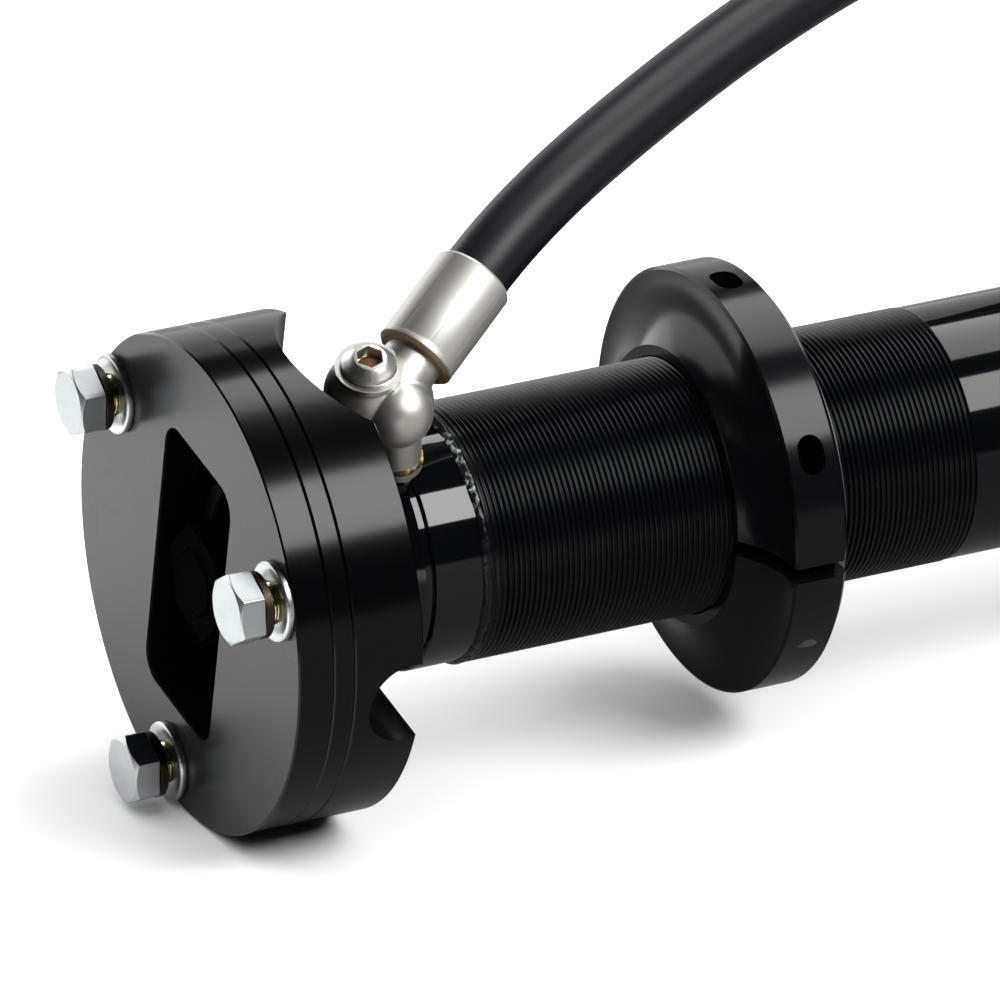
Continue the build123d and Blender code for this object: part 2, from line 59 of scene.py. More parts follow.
# ---- mesh helpers ----------------------------------------------------------------
def add_object(name, data):
    """A new object in the scene."""
    obj = bpy.data.objects.new(name, data)
    bpy.context.scene.collection.objects.link(obj)
    return obj


def mesh_object(name, points, faces, smooth=True):
    """A mesh object from points and faces, in metres."""
    mesh = bpy.data.meshes.new(name)
    mesh.from_pydata([tuple(p) for p in points], [], faces)
    mesh.update()
    mesh.polygons.foreach_set("use_smooth", [smooth] * len(mesh.polygons))
    return add_object(name, mesh)


def grid_faces(rows, columns, closed_rows=False):
    """Quads of a grid whose columns close on themselves."""
    faces = []
    for i in range(rows if closed_rows else rows - 1):
        nxt = (i + 1) % rows
        for j in range(columns):
            k = (j + 1) % columns
            faces.append((i * columns + j, i * columns + k, nxt * columns + k, nxt * columns + j))
    return faces


def frame_of(origin, direction, clock=0.0):
    """A matrix that puts local Z along a direction at a point."""
    turn = Vector(direction).to_track_quat("Z", "Y").to_matrix().to_4x4()
    return Matrix.Translation(origin) @ turn @ Matrix.Rotation(clock, 4, "Z")


def lathe(name, profile, matrix, segments=96, closed=False, wobble=None):
    """A turned piece about local Z from (height, radius) in mm; wobble(angle, h) adds to the radius."""
    points = []
    for h, r in profile:
        for j in range(segments):
            a = 2 * math.pi * j / segments
            rr = r + (wobble(a, h) if wobble and r > 0.01 else 0.0)
            points.append(matrix @ Vector((rr * math.cos(a) * MM, rr * math.sin(a) * MM, h * MM)))
    faces = grid_faces(len(profile), segments, closed_rows=closed)
    if not closed:
        faces.append(tuple(range(segments))[::-1])
        faces.append(tuple(range((len(profile) - 1) * segments, len(profile) * segments)))
    return mesh_object(name, points, faces)


def sharpen(obj, degrees=30):
    """Smooth shading, with edges over an angle kept sharp."""
    mesh = obj.data
    mesh.polygons.foreach_set("use_smooth", [True] * len(mesh.polygons))
    mesh.set_sharp_from_angle(angle=math.radians(degrees))


def bevel(obj, width_mm, segments=2, degrees=30):
    """A small bevel on the hard edges, so that they catch the light."""
    mod = obj.modifiers.new("edge", "BEVEL")
    mod.width = width_mm * MM
    mod.segments = segments
    mod.limit_method = "ANGLE"
    mod.angle_limit = math.radians(degrees)
    mod.harden_normals = True


def apply_modifiers(obj):
    """Replaces a mesh object's mesh with its evaluated one."""
    graph = bpy.context.evaluated_depsgraph_get()
    made = bpy.data.meshes.new_from_object(obj.evaluated_get(graph))
    obj.modifiers.clear()
    obj.data = made


# ---- node helpers ----------------------------------------------------------------
class Paint:
    """A Principled material with a few procedural helpers."""

    def __init__(self, name, colour, roughness, metallic=0.0, **sockets):
        self.mat = bpy.data.materials.new(name)
        self.mat.use_nodes = True
        self.tree = self.mat.node_tree
        self.tree.nodes.clear()
        self.out = self.node("ShaderNodeOutputMaterial")
        self.bsdf = self.node("ShaderNodeBsdfPrincipled")
        self.link(self.bsdf.outputs["BSDF"], self.out.inputs["Surface"])
        self.bsdf.inputs["Base Color"].default_value = (*colour, 1)
        self.bsdf.inputs["Roughness"].default_value = roughness
        self.bsdf.inputs["Metallic"].default_value = metallic
        for key, value in sockets.items():
            self.bsdf.inputs[key.replace("_", " ")].default_value = value
        self.coords = self.node("ShaderNodeTexCoord").outputs["Object"]
        self.height = None

    def node(self, kind, **props):
        """A new node, with its properties set."""
        made = self.tree.nodes.new(kind)
        for key, value in props.items():
            setattr(made, key, value)
        return made

    def link(self, a, b):
        """Joins an output to an input."""
        self.tree.links.new(a, b)

    def feed(self, socket, value):
        """A number or an output into an input socket."""
        if isinstance(value, bpy.types.NodeSocket):
            self.link(value, socket)
        else:
            socket.default_value = value

    def math(self, operation, a, b=0.0, clamp=False):
        """One step of arithmetic on numbers or outputs."""
        n = self.node("ShaderNodeMath", operation=operation, use_clamp=clamp)
        self.feed(n.inputs[0], a)
        self.feed(n.inputs[1], b)
        return n.outputs[0]

    def split(self, vector):
        """The three components of a vector."""
        n = self.node("ShaderNodeSeparateXYZ")
        self.link(vector, n.inputs[0])
        return n.outputs

    def join(self, x, y, z):
        """A vector from three numbers or outputs."""
        n = self.node("ShaderNodeCombineXYZ")
        for socket, value in zip(n.inputs, (x, y, z)):
            self.feed(socket, value)
        return n.outputs[0]

    def scaled(self, factors, vector=None):
        """Coordinates stretched along each axis."""
        n = self.node("ShaderNodeVectorMath", operation="MULTIPLY")
        self.link(vector or self.coords, n.inputs[0])
        n.inputs[1].default_value = factors
        return n.outputs[0]

    def noise(self, scale, detail=3.0, rough=0.55, vector=None, distortion=0.0):
        """Noise from 0 to 1."""
        n = self.node("ShaderNodeTexNoise")
        self.link(vector or self.coords, n.inputs["Vector"])
        n.inputs["Scale"].default_value = scale
        n.inputs["Detail"].default_value = detail
        n.inputs["Roughness"].default_value = rough
        n.inputs["Distortion"].default_value = distortion
        return n.outputs["Fac"]

    def ramp(self, fac, stops):
        """A colour ramp from (position, value or colour) stops."""
        n = self.node("ShaderNodeValToRGB")
        self.link(fac, n.inputs["Fac"])
        elements = n.color_ramp.elements
        while len(elements) < len(stops):
            elements.new(0.5)
        for element, (position, value) in zip(elements, stops):
            element.position = position
            rgb = value if isinstance(value, (tuple, list)) else (value,) * 3
            element.color = (*rgb, 1)
        return n.outputs["Color"]

    def range(self, fac, low, high, from_low=0.0, from_high=1.0):
        """One range mapped onto another, and held at its ends."""
        n = self.node("ShaderNodeMapRange")
        self.link(fac, n.inputs["Value"])
        limits = {"From Min": from_low, "From Max": from_high, "To Min": low, "To Max": high}
        for key, value in limits.items():
            n.inputs[key].default_value = value
        return n.outputs["Result"]

    def mix(self, fac, a, b):
        """A blend of two colours or outputs."""
        n = self.node("ShaderNodeMix", data_type="RGBA")
        self.feed(n.inputs["Factor"], fac)
        for socket, value in ((n.inputs[6], a), (n.inputs[7], b)):
            self.feed(socket, value if isinstance(value, bpy.types.NodeSocket) else (*value, 1))
        return n.outputs[2]

    def tint(self, fac, low, high):
        """Base colour that runs between two colours."""
        self.link(self.mix(fac, low, high), self.bsdf.inputs["Base Color"])

    def rough(self, fac, low, high):
        """Roughness that runs between two values."""
        self.link(self.range(fac, low, high), self.bsdf.inputs["Roughness"])

    def bump(self, height, strength, distance_mm):
        """Adds a bump layer on top of those already there."""
        n = self.node("ShaderNodeBump")
        n.inputs["Strength"].default_value = strength
        n.inputs["Distance"].default_value = distance_mm * MM
        self.link(height, n.inputs["Height"])
        if self.height is not None:
            self.link(self.height, n.inputs["Normal"])
        self.height = n.outputs["Normal"]
        self.link(self.height, self.bsdf.inputs["Normal"])

    def turning(self, centre=(0.0, 0.0), axis="X"):
        """Coordinates that are the same all round an axis: along it, and the distance from it."""
        x, y, z = self.split(self.coords)
        along, a, b = {"X": (x, y, z), "Y": (y, x, z)}[axis]
        a = self.math("SUBTRACT", a, centre[0])
        b = self.math("SUBTRACT", b, centre[1])
        squares = self.math("ADD", self.math("MULTIPLY", a, a), self.math("MULTIPLY", b, b))
        return self.join(along, self.math("SQRT", squares), 0.0)


RES_CENTRE = (0.086, -0.026)
RIM_FROM, RIM_TO = 0.0494, 0.0497      # radii between which a plate's face turns into its rim
PAINTED_SHADE_FROM, PAINTED_SHADE_TO = 0.0002, 0.0008    # depths between which the blasted skin of the face ends and the painted shade of the window walls and recesses begins


def anodised(name, colour, roughness, centre=(0.0, 0.0), axis="X", marks=0.10, speckle=0.06, **sockets):
    """Black or coloured anodised aluminium with faint turning marks."""
    sockets.setdefault("IOR", 1.42)
    p = Paint(name, colour, roughness, **sockets)
    lines = p.noise(2600, 2.0, 0.6, p.turning(centre, axis))
    grain = p.noise(1500, 3.0, 0.6)
    cloud = p.noise(38, 3.0, 0.5)
    darker = tuple(c * 0.72 for c in colour)
    lighter = tuple(min(1, c * 1.25 + 0.001) for c in colour)
    p.tint(cloud, darker, lighter)
    uneven = p.math("ADD", p.math("MULTIPLY", cloud, 0.6), p.math("MULTIPLY", lines, 0.4))
    p.rough(uneven, roughness * 0.8, roughness * 1.2)
    p.bump(lines, marks, 0.02)
    p.bump(grain, speckle, 0.01)
    return p


def plated(name, colour, roughness, marks=0.15, spread=1.0, **sockets):
    """Bright metal with fine marks and a slightly uneven tone and gloss."""
    p = Paint(name, colour, roughness, metallic=1.0, **sockets)
    cloud = p.noise(120, 3.0, 0.55)
    fine = p.noise(1400, 3.0, 0.6)
    p.tint(cloud, tuple(c * 0.82 for c in colour), tuple(min(1, c * 1.12) for c in colour))
    p.rough(fine, roughness * (1 - 0.3 * spread), roughness * (1 + 0.4 * spread))
    p.bump(fine, marks, 0.02)
    return p


def satin_material():
    """Anodised plates: a matt blasted face and finely turned rims; the darker colour on the rims is their
    finish, on the window walls and every surface behind the face it is painted shade.
    """
    p = Paint("black_anodised_satin", (0.0015, 0.0015, 0.0018), 0.3, IOR=1.25)
    turned = p.turning()
    lines = p.noise(2600, 2.0, 0.6, turned)
    grain = p.noise(1500, 3.0, 0.6)
    cloud = p.noise(38, 3.0, 0.5)
    depth, radius, _ = p.split(turned)
    rim = p.range(radius, 0.0, 1.0, RIM_FROM, RIM_TO)
    # Darker on the turned rims, their own finish, and on everything deeper than the face's skin, such as the
    # window walls: painted shade.
    blasted_face_else_rim_or_painted_shade = p.math("MULTIPLY", p.math("SUBTRACT", 1.0, rim), p.range(depth, 1.0, 0.0, PAINTED_SHADE_FROM, PAINTED_SHADE_TO))
    p.tint(blasted_face_else_rim_or_painted_shade, (0.0008, 0.0008, 0.0010), (0.010, 0.010, 0.0105))
    face_rough = p.range(cloud, 0.24, 0.30)
    rim_rough = p.range(lines, 0.13, 0.19)
    on_rim = p.math("MULTIPLY", rim_rough, rim)
    on_face = p.math("MULTIPLY", face_rough, p.math("SUBTRACT", 1.0, rim))
    p.link(p.math("ADD", on_rim, on_face), p.bsdf.inputs["Roughness"])
    p.bump(lines, 0.10, 0.02)
    p.bump(grain, 0.06, 0.01)
    return p


# ---- materials -------------------------------------------------------------------
MATERIALS = {
    "satin": satin_material(),
    "perch": anodised("black_anodised_perch", (0.0012, 0.0013, 0.0017), 0.17, marks=0.10, IOR=1.23),
    "seat": anodised("black_anodised_seat", (0.0015, 0.0015, 0.0018), 0.22, IOR=1.3),
    "gloss": anodised("black_gloss", (0.0006, 0.0007, 0.0011), 0.05, marks=0.01, speckle=0.01, IOR=1.36),
    "thread": anodised("black_thread", (0.0008, 0.0009, 0.0013), 0.22, marks=0.03, IOR=1.21),
    "tube": anodised("black_gloss_tube", (0.0006, 0.0007, 0.0012), 0.07, marks=0.01, speckle=0.01, IOR=1.26),
    "gloss_reservoir": anodised("black_gloss_reservoir", (0.001, 0.001, 0.0014), 0.10, RES_CENTRE),
    # The stud, its washer and its nut in the window: painted near black and almost unreflective, as painted
    # shade.
    "stud_painted_shade": anodised("black_stud_painted_shade", (0.0002, 0.0002, 0.0003), 0.55, IOR=1.015),
    "zinc": plated("zinc_plate", (0.40, 0.425, 0.435), 0.36, marks=0.10),
    "washer": plated("zinc_washer", (0.44, 0.46, 0.46), 0.32, marks=0.004, spread=0.1),
    "spring_washer": plated("spring_washer_steel", (0.040, 0.030, 0.025), 0.42),
    "screw": plated("turned_stainless", (0.58, 0.57, 0.54), 0.36, marks=0.02),
    "steel": plated("bearing_steel", (0.55, 0.55, 0.56), 0.12, marks=0.03),
    "dark_steel": plated("blackened_bearing_steel", (0.07, 0.07, 0.075), 0.20, marks=0.03),
    "oxide": anodised("black_oxide", (0.018, 0.018, 0.019), 0.34),
    "chrome": plated("hard_chrome", (0.78, 0.78, 0.80), 0.07, marks=0.02),
    "aluminium": plated("turned_aluminium", (0.72, 0.72, 0.73), 0.28),
    "shim": plated("spring_steel", (0.42, 0.43, 0.47), 0.25),
    "bronze": plated("bronze_strip", (0.55, 0.36, 0.18), 0.35),
    "brass": plated("machined_brass", (0.78, 0.58, 0.28), 0.22),
    "blue": anodised("blue_anodised", (0.02, 0.07, 0.42), 0.28),
    "red": anodised("red_anodised", (0.40, 0.02, 0.02), 0.28, RES_CENTRE),
    "blue_reservoir": anodised("blue_anodised_reservoir", (0.02, 0.07, 0.42), 0.28, RES_CENTRE),
    "eye": anodised("black_anodised_eye", (0.011, 0.011, 0.012), 0.32, (0.472, 0.0), "Y"),
}


def stainless_material():
    """Cast stainless with a bead-blasted, slightly warm skin."""
    p = Paint("cast_stainless", (0.50, 0.48, 0.44), 0.46, metallic=1.0)
    cloud = p.noise(160, 4.0, 0.6)
    fine = p.noise(2600, 2.0, 0.5)
    p.tint(cloud, (0.45, 0.43, 0.395), (0.56, 0.545, 0.515))
    p.rough(fine, 0.44, 0.54)
    p.bump(cloud, 0.10, 0.10)
    p.bump(fine, 0.10, 0.02)
    return p


def ferrule_material(name, start, direction):
    """Drawn stainless tube: fine lines along its length, and a heat tint at its base."""
    p = Paint(name, (0.66, 0.63, 0.58), 0.26, metallic=1.0)
    offset = p.node("ShaderNodeVectorMath", operation="SUBTRACT")
    p.link(p.coords, offset.inputs[0])
    offset.inputs[1].default_value = start
    rotate = p.node("ShaderNodeVectorRotate", rotation_type="EULER_XYZ", invert=True)
    p.link(offset.outputs[0], rotate.inputs["Vector"])
    rotate.inputs["Rotation"].default_value = Vector(direction).to_track_quat("Z", "Y").to_euler()
    local = rotate.outputs[0]
    lines = p.noise(900, 4.0, 0.65, p.scaled((1.0, 1.0, 0.035), local))
    broad = p.noise(260, 2.0, 0.5, p.scaled((1.0, 1.0, 0.05), local))
    base = p.range(p.split(local)[2], 1.0, 0.0, 0.0005, 0.0010)
    steel = p.mix(broad, (0.42, 0.41, 0.385), (0.60, 0.59, 0.56))
    p.link(p.mix(base, steel, (0.24, 0.18, 0.12)), p.bsdf.inputs["Base Color"])
    p.rough(lines, 0.50, 0.62)
    p.bump(lines, 0.30, 0.05)
    return p


def rubber_material():
    """Black extruded rubber with a faint fabric print under the skin."""
    p = Paint("hose_rubber", (0.003, 0.003, 0.004), 0.45, IOR=1.33)
    wave = p.node("ShaderNodeTexWave", wave_type="BANDS", bands_direction="DIAGONAL")
    p.link(p.coords, wave.inputs["Vector"])
    wave.inputs["Scale"].default_value = 260.0
    wave.inputs["Distortion"].default_value = 0.6
    grain = p.noise(900, 3.0, 0.6)
    cloud = p.noise(60, 3.0, 0.55)
    p.tint(cloud, (0.0012, 0.0012, 0.002), (0.003, 0.003, 0.0042))
    p.rough(p.math("ADD", p.math("MULTIPLY", cloud, 0.7), p.math("MULTIPLY", grain, 0.3)), 0.36, 0.52)
    p.bump(wave.outputs["Fac"], 0.10, 0.05)
    p.bump(grain, 0.22, 0.03)
    return p


def bead_material():
    """Black gloss run of sealant; broken silvery patches on its upper front only, where the light catches
    it, are a painted highlight.
    """
    p = Paint("thread_sealant", (0.01, 0.01, 0.01), 0.28, IOR=1.3)
    _, y, z = p.split(p.coords)
    patches = p.noise(430, 4.0, 0.65, distortion=0.8)
    angle = p.math("ARCTAN2", z, y)
    # The silvery patches are kept to the upper front, where the light catches the bead: painted highlight.
    past_start, before_end = p.range(angle, 0.0, 1.0, 1.80, 2.0), p.range(angle, 1.0, 0.0, 2.35, 2.62)
    painted_highlight_band = p.math("MULTIPLY", past_start, before_end)
    fac = p.math("MULTIPLY", p.ramp(patches, [(0.50, 0.0), (0.60, 1.0)]), painted_highlight_band)
    p.link(p.mix(fac, (0.0015, 0.0015, 0.002), (0.22, 0.23, 0.23)), p.bsdf.inputs["Base Color"])
    p.bump(patches, 0.35, 0.15)
    return p


def plain_rubber(name, colour, roughness):
    """Moulded rubber or plastic with a fine grain."""
    p = Paint(name, colour, roughness, IOR=1.45)
    grain = p.noise(1200, 4.0, 0.6)
    cloud = p.noise(90, 3.0, 0.5)
    p.tint(cloud, tuple(c * 0.75 for c in colour), tuple(c * 1.3 for c in colour))
    p.rough(grain, roughness * 0.85, min(1.0, roughness * 1.15))
    p.bump(grain, 0.25, 0.05)
    return p


def foam_material():
    """Closed-cell bump stop foam with open pores on its skin."""
    p = Paint("bump_foam", (0.50, 0.40, 0.13), 0.85, IOR=1.4)
    cells = p.node("ShaderNodeTexVoronoi")
    p.link(p.coords, cells.inputs["Vector"])
    cells.inputs["Scale"].default_value = 1600
    cloud = p.noise(90, 3.0, 0.6)
    p.tint(cloud, (0.42, 0.32, 0.09), (0.58, 0.47, 0.17))
    p.bump(cells.outputs["Distance"], 0.5, 0.15)
    return p


MATERIALS.update(
    stainless=stainless_material(),
    rubber=rubber_material(),
    bead=bead_material(),
    seal=plain_rubber("seal_rubber", (0.014, 0.014, 0.014), 0.45),
    nylon=plain_rubber("nylon_ring", (0.03, 0.03, 0.031), 0.4),
    foam=foam_material(),
)

CAD_FINISH = {
    "satin": ["top_plate", "spacer_plate", "bearing_housing"],
    "seat": ["lower_spring_seat"],
    # The stud parts take the painted-shade material.
    "stud_painted_shade": ["top_stud", "stud_washer", "stud_nut"],
    "perch": ["spring_perch"],
    "gloss": ["end_cap", "seal_head"],
    "tube": ["damper_tube"],
    "gloss_reservoir": ["reservoir_head", "reservoir_end_cap", "reservoir_tube"],
    "eye": ["lower_eye"],
    "stainless": ["reservoir_union", "port_stem"],
    "screw": ["banjo_seal_washer"],
    "dark_steel": ["bearing_ball", "bearing_race"],
    "steel": ["lower_ball", "lower_race"],
    "oxide": ["bearing_circlip", "lower_circlips", "pinch_screw", "eye_lock_nut", "piston_nut"],
    "chrome": ["piston_rod"],
    "aluminium": ["piston", "floating_piston", "lower_spacers"],
    "shim": ["rebound_shims", "compression_shims"],
    "bronze": ["piston_band", "rod_bush"],
    "seal": ["rod_seal", "rod_wiper", "seal_head_oring", "floating_piston_oring"],
    "foam": ["bump_stop"],
    "nylon": ["spring_thrust_ring"],
    "blue": ["rebound_knob"],
    "blue_reservoir": ["low_speed_knob"],
    "red": ["high_speed_knob"],
    "brass": ["gas_valve"],
}


def paint(obj, key):
    """Gives an object one of the materials."""
    obj.data.materials.clear()
    obj.data.materials.append(MATERIALS[key].mat)


for key, names in CAD_FINISH.items():
    for node_name in names:
        paint(NODES[node_name], key)
        sharpen(NODES[node_name])


def place(obj, body, slot, key, *replaced):
    """Paints a new piece and hangs it on its body."""
    paint(obj, key)
    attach(obj, body)
    if replaced:
        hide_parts(*replaced)
    return obj


# ---- hose, the one cord: places in metres, radii and the ferrule's length in mm ----
STEM_FOOT = Vector((0.0405, -0.011, 0.0228))
BANJO_BALL = Vector((0.038, -0.0156, 0.0354))
BANJO_EYE = Vector((0.0339, -0.0104, 0.0383))
SCREW_DIR = Vector((-0.12, -0.41, 0.905)).normalized()
HOSE_DIR = Vector((0.796, 0.32, 0.565)).normalized()
FERRULE_L, FERRULE_R = 21.5, 8.2
HOSE_R = 6.95
RES_PORT = Vector((0.304, 0.086, -0.010))
RES_PORT_DIR = Vector((0.60, 0.10, -0.794)).normalized()
TAIL_ROOT = (BANJO_BALL + BANJO_EYE) * 0.5
TAIL_TO_FERRULE, PORT_TO_FERRULE = 0.011, 0.021    # metres, along the hose's two directions
FERRULE_START = TAIL_ROOT + HOSE_DIR * TAIL_TO_FERRULE
HOSE_START = FERRULE_START + HOSE_DIR * FERRULE_L * MM
RES_FERRULE_END = RES_PORT - RES_PORT_DIR * PORT_TO_FERRULE
HOSE_END = RES_FERRULE_END - RES_PORT_DIR * FERRULE_L * MM
HOSE_ROUTE = [
    HOSE_START,
    HOSE_START + HOSE_DIR * 0.017,
    Vector((0.1218, 0.024, 0.077)),
    Vector((0.157, 0.0375, 0.0845)),
    Vector((0.193, 0.052, 0.0872)),
    Vector((0.227, 0.066, 0.076)),
    HOSE_END - RES_PORT_DIR * 0.036,
    HOSE_END,
]

hose_curve = bpy.data.curves.new("hose_line", "CURVE")
hose_curve.dimensions = "3D"
spline = hose_curve.splines.new("NURBS")
spline.points.add(len(HOSE_ROUTE) - 1)
for point, place_at in zip(spline.points, HOSE_ROUTE):
    point.co = (*place_at, 1)
spline.order_u = 3
spline.use_endpoint_u = True
spline.resolution_u = 24
hose_curve.bevel_depth = HOSE_R * MM
hose_curve.bevel_resolution = 12
hose_curve.use_fill_caps = True
hose = add_object("rubber_hose", hose_curve)
hose.data.materials.append(MATERIALS["rubber"].mat)
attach(hose, "damper_body")
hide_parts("hose")


# ---- ferrules --------------------------------------------------------------------
def make_ferrule(name, start, direction, replaced):
    """A crimped ferrule: chamfered ends, a turned base lip and faint lines left by the crimping jaws."""
    jaws = 8

    def crimp(a, h):
        """The line that each jaw leaves along the ferrule."""
        if 2.2 < h < FERRULE_L - 2.0:
            return -0.07 * max(0.0, 1.0 - abs(math.sin(a * jaws / 2)) * 7.0)
        return 0.0

    r, length = FERRULE_R, FERRULE_L
    profile = [
        (0.0, 5.6), (0.0, r - 0.8), (0.75, r), (1.5, r), (1.6, r - 0.12), (2.3, r - 0.12), (2.5, r - 0.04),
        (length * 0.5, r), (length - 0.6, r), (length, r - 0.45), (length, HOSE_R - 0.15),
    ]
    obj = lathe(name, profile, frame_of(start, direction), 192, wobble=crimp)
    MATERIALS[name] = ferrule_material(name, start, direction)
    place(obj, "damper_body", "stainless_ferrule", name, replaced)
    sharpen(obj, 30)
    return obj


ferrule_near = make_ferrule("ferrule_banjo_end", FERRULE_START, HOSE_DIR, "hose_ferrule")
ferrule_far = make_ferrule("ferrule_reservoir_end", RES_FERRULE_END, -RES_PORT_DIR, "reservoir_ferrule")


# ---- threads ---------------------------------------------------------------------
THREAD_FORM = [   # position in one pitch, depth from crest (0) to root (1)
    (0.00, 0.0), (0.12, 0.03), (0.20, 0.20), (0.36, 0.86), (0.44, 1.0),
    (0.56, 1.0), (0.64, 0.86), (0.80, 0.20), (0.88, 0.03),
]


def screw_thread(name, start, end, crest, depth, pitch, matrix, bore, segments=120, run_in=0.0):
    """A true helical thread about local Z, in mm, closed at its ends and lined by a bore.

    Over its run-in the thread grows from a quarter of its depth to the whole of it.
    """
    turns = int((end - start) / pitch) + 3
    rows = [(turn + phase, d) for turn in range(-1, turns) for phase, d in THREAD_FORM]
    points = []
    for position, d in rows:
        for j in range(segments):
            angle = 2 * math.pi * j / segments
            z = start + pitch * (position + j / segments)
            fade = min(1.0, 0.25 + 0.75 * (z - start) / run_in) if run_in else 1.0
            r = crest - depth * d * fade
            if z <= start or z >= end:
                z, r = min(max(z, start), end), crest - 0.3 * depth
            points.append(matrix @ Vector((r * math.cos(angle) * MM, r * math.sin(angle) * MM, z * MM)))
    step = len(THREAD_FORM)
    faces = []
    for i in range(len(rows) - 1):
        for j in range(segments):
            shift, k = (0, j + 1) if j + 1 < segments else (step, 0)
            if i + 1 + shift >= len(rows):
                continue
            faces.append((i * segments + j, (i + shift) * segments + k,
                          (i + 1 + shift) * segments + k, (i + 1) * segments + j))
    obj = mesh_object(name, points, faces)
    work = bmesh.new()
    work.from_mesh(obj.data)
    bmesh.ops.remove_doubles(work, verts=work.verts, dist=1e-7)
    loose = [v for v in work.verts if not v.link_faces]
    bmesh.ops.delete(work, geom=loose, context="VERTS")
    inverse = matrix.inverted()
    rims = [e for e in work.edges if e.is_boundary]
    made = bmesh.ops.extrude_edge_only(work, edges=rims)
    inner = [v for v in made["geom"] if isinstance(v, bmesh.types.BMVert)]
    for v in inner:
        local = inverse @ v.co
        flat = Vector((local.x, local.y, 0)).normalized() * bore * MM
        v.co = matrix @ Vector((flat.x, flat.y, local.z))
    edges = [e for e in made["geom"] if isinstance(e, bmesh.types.BMEdge)]
    bmesh.ops.bridge_loops(work, edges=edges)
    bmesh.ops.recalc_face_normals(work, faces=work.faces)
    work.to_mesh(obj.data)
    work.free()
    obj.data.polygons.foreach_set("use_smooth", [True] * len(obj.data.polygons))
    obj.data.set_sharp_from_angle(angle=math.radians(75))
    return obj


THREAD_START, THREAD_END, THREAD_CREST, SLEEVE_BORE = 53.3, 161.8, 26.0, 23.02
THREAD_DEPTH, THREAD_PITCH, THREAD_RUN_IN = 0.58, 1.2, 3.6
ALONG_X = Matrix(((0, 0, 1, 0), (1, 0, 0, 0), (0, 1, 0, 0), (0, 0, 0, 1)))   # local Z to X
sleeve = screw_thread(
    "sleeve_thread", THREAD_START, THREAD_END, THREAD_CREST, THREAD_DEPTH, THREAD_PITCH,
    ALONG_X, SLEEVE_BORE, 144, run_in=THREAD_RUN_IN,
)
place(sleeve, "damper_body", "black_thread", "thread", "threaded_sleeve")


# ---- sealant bead ----------------------------------------------------------------
def bead_wobble(a, h):
    """Lumps on the bead, the same every run."""
    where = Vector((math.cos(a) * 9.0, math.sin(a) * 9.0, h * 1.4))
    return 0.34 * noise.noise(where) + 0.16 * noise.noise(where * 3.1)


bead = lathe(
    "sealant_bead",
    [
        (51.6, 25.05), (51.8, 25.35), (52.1, 25.6), (52.5, 25.85), (52.9, 25.95), (53.3, 25.95),
        (53.7, 25.75), (53.9, 25.0),
    ],
    ALONG_X, 420, closed=True, wobble=bead_wobble,
)
place(bead, "damper_body", "sealant", "bead", "sleeve_bead")


# ---- banjo union -----------------------------------------------------------------
BALL_R, EYE_R, SHOULDER_R, SEAT = 7.1, 8.4, 8.35, 6.2
BANJO_SHOULDER = Vector((0.0386, -0.0118, 0.0362))
seat_at = BANJO_EYE + SCREW_DIR * SEAT * MM


def ball_profile(r, top=90.0):
    """A sphere's outline from its lowest point up to an angle, with a flat on top."""
    steps = 28
    angles = [-90 + (top + 90) * k / steps for k in range(steps + 1)]
    return [(r * math.sin(math.radians(t)), max(0.005, r * math.cos(math.radians(t)))) for t in angles]


def joined(name, parts):
    """Several closed meshes as one object."""
    work = bmesh.new()
    for part in parts:
        work.from_mesh(part.data)
        bpy.data.objects.remove(part)
    mesh = bpy.data.meshes.new(name)
    work.to_mesh(mesh)
    work.free()
    return add_object(name, mesh)


UNDER_SEAT = 0.3     # how far the shoulder's flat lies under the screw's seat
TAIL_L = 11.6
eye_top = math.degrees(math.asin(SEAT / EYE_R))
shoulder_drop = (seat_at - BANJO_SHOULDER).dot(SCREW_DIR) / MM
shoulder_top = math.degrees(math.asin(min(1.0, (shoulder_drop - UNDER_SEAT) / SHOULDER_R)))
banjo = joined("banjo_union", [
    lathe("ball", ball_profile(BALL_R), frame_of(BANJO_BALL, SCREW_DIR), 64),
    lathe("eye", ball_profile(EYE_R, eye_top), frame_of(BANJO_EYE, SCREW_DIR), 64),
    lathe("shoulder", ball_profile(SHOULDER_R, shoulder_top), frame_of(BANJO_SHOULDER, SCREW_DIR), 64),
    lathe("tail", [(0.0, 6.6), (6.2, 6.5), (7.4, 6.2), (8.4, 6.05), (TAIL_L, 6.0)],
          frame_of(TAIL_ROOT, HOSE_DIR), 64),
])
remesh = banjo.modifiers.new("remesh", "REMESH")
remesh.mode = "VOXEL"
remesh.voxel_size = 0.22 * MM
smooth = banjo.modifiers.new("smooth", "SMOOTH")
smooth.factor = 0.5
smooth.iterations = 14
apply_modifiers(banjo)
sharpen(banjo, 180)
place(banjo, "damper_body", "stainless", "stainless", "banjo_fitting")


# ---- hex parts -------------------------------------------------------------------
def hex_radius(a, across_flats, corner):
    """Distance from the centre to a hexagon's side, its corners slightly rounded."""
    off = (a + math.pi / 6) % (math.pi / 3) - math.pi / 6
    return min(across_flats / 2 / math.cos(off), corner)


def cut(obj, cutter):
    """Subtracts a mesh from another and removes it."""
    mod = obj.modifiers.new("cut", "BOOLEAN")
    mod.operation = "DIFFERENCE"
    mod.object = cutter
    apply_modifiers(obj)
    bpy.data.objects.remove(cutter)


def hex_bar(name, across_flats, low, high, matrix):
    """A plain hexagonal prism, in mm."""
    r = across_flats / math.sqrt(3)
    ring = [(r * math.cos(math.pi / 3 * k), r * math.sin(math.pi / 3 * k)) for k in range(6)]
    points = [matrix @ (Vector((x, y, z)) * MM) for z in (low, high) for x, y in ring]
    faces = [(k, (k + 1) % 6, 6 + (k + 1) % 6, 6 + k) for k in range(6)]
    faces += [tuple(range(6))[::-1], tuple(range(6, 12))]
    return mesh_object(name, points, faces, smooth=False)


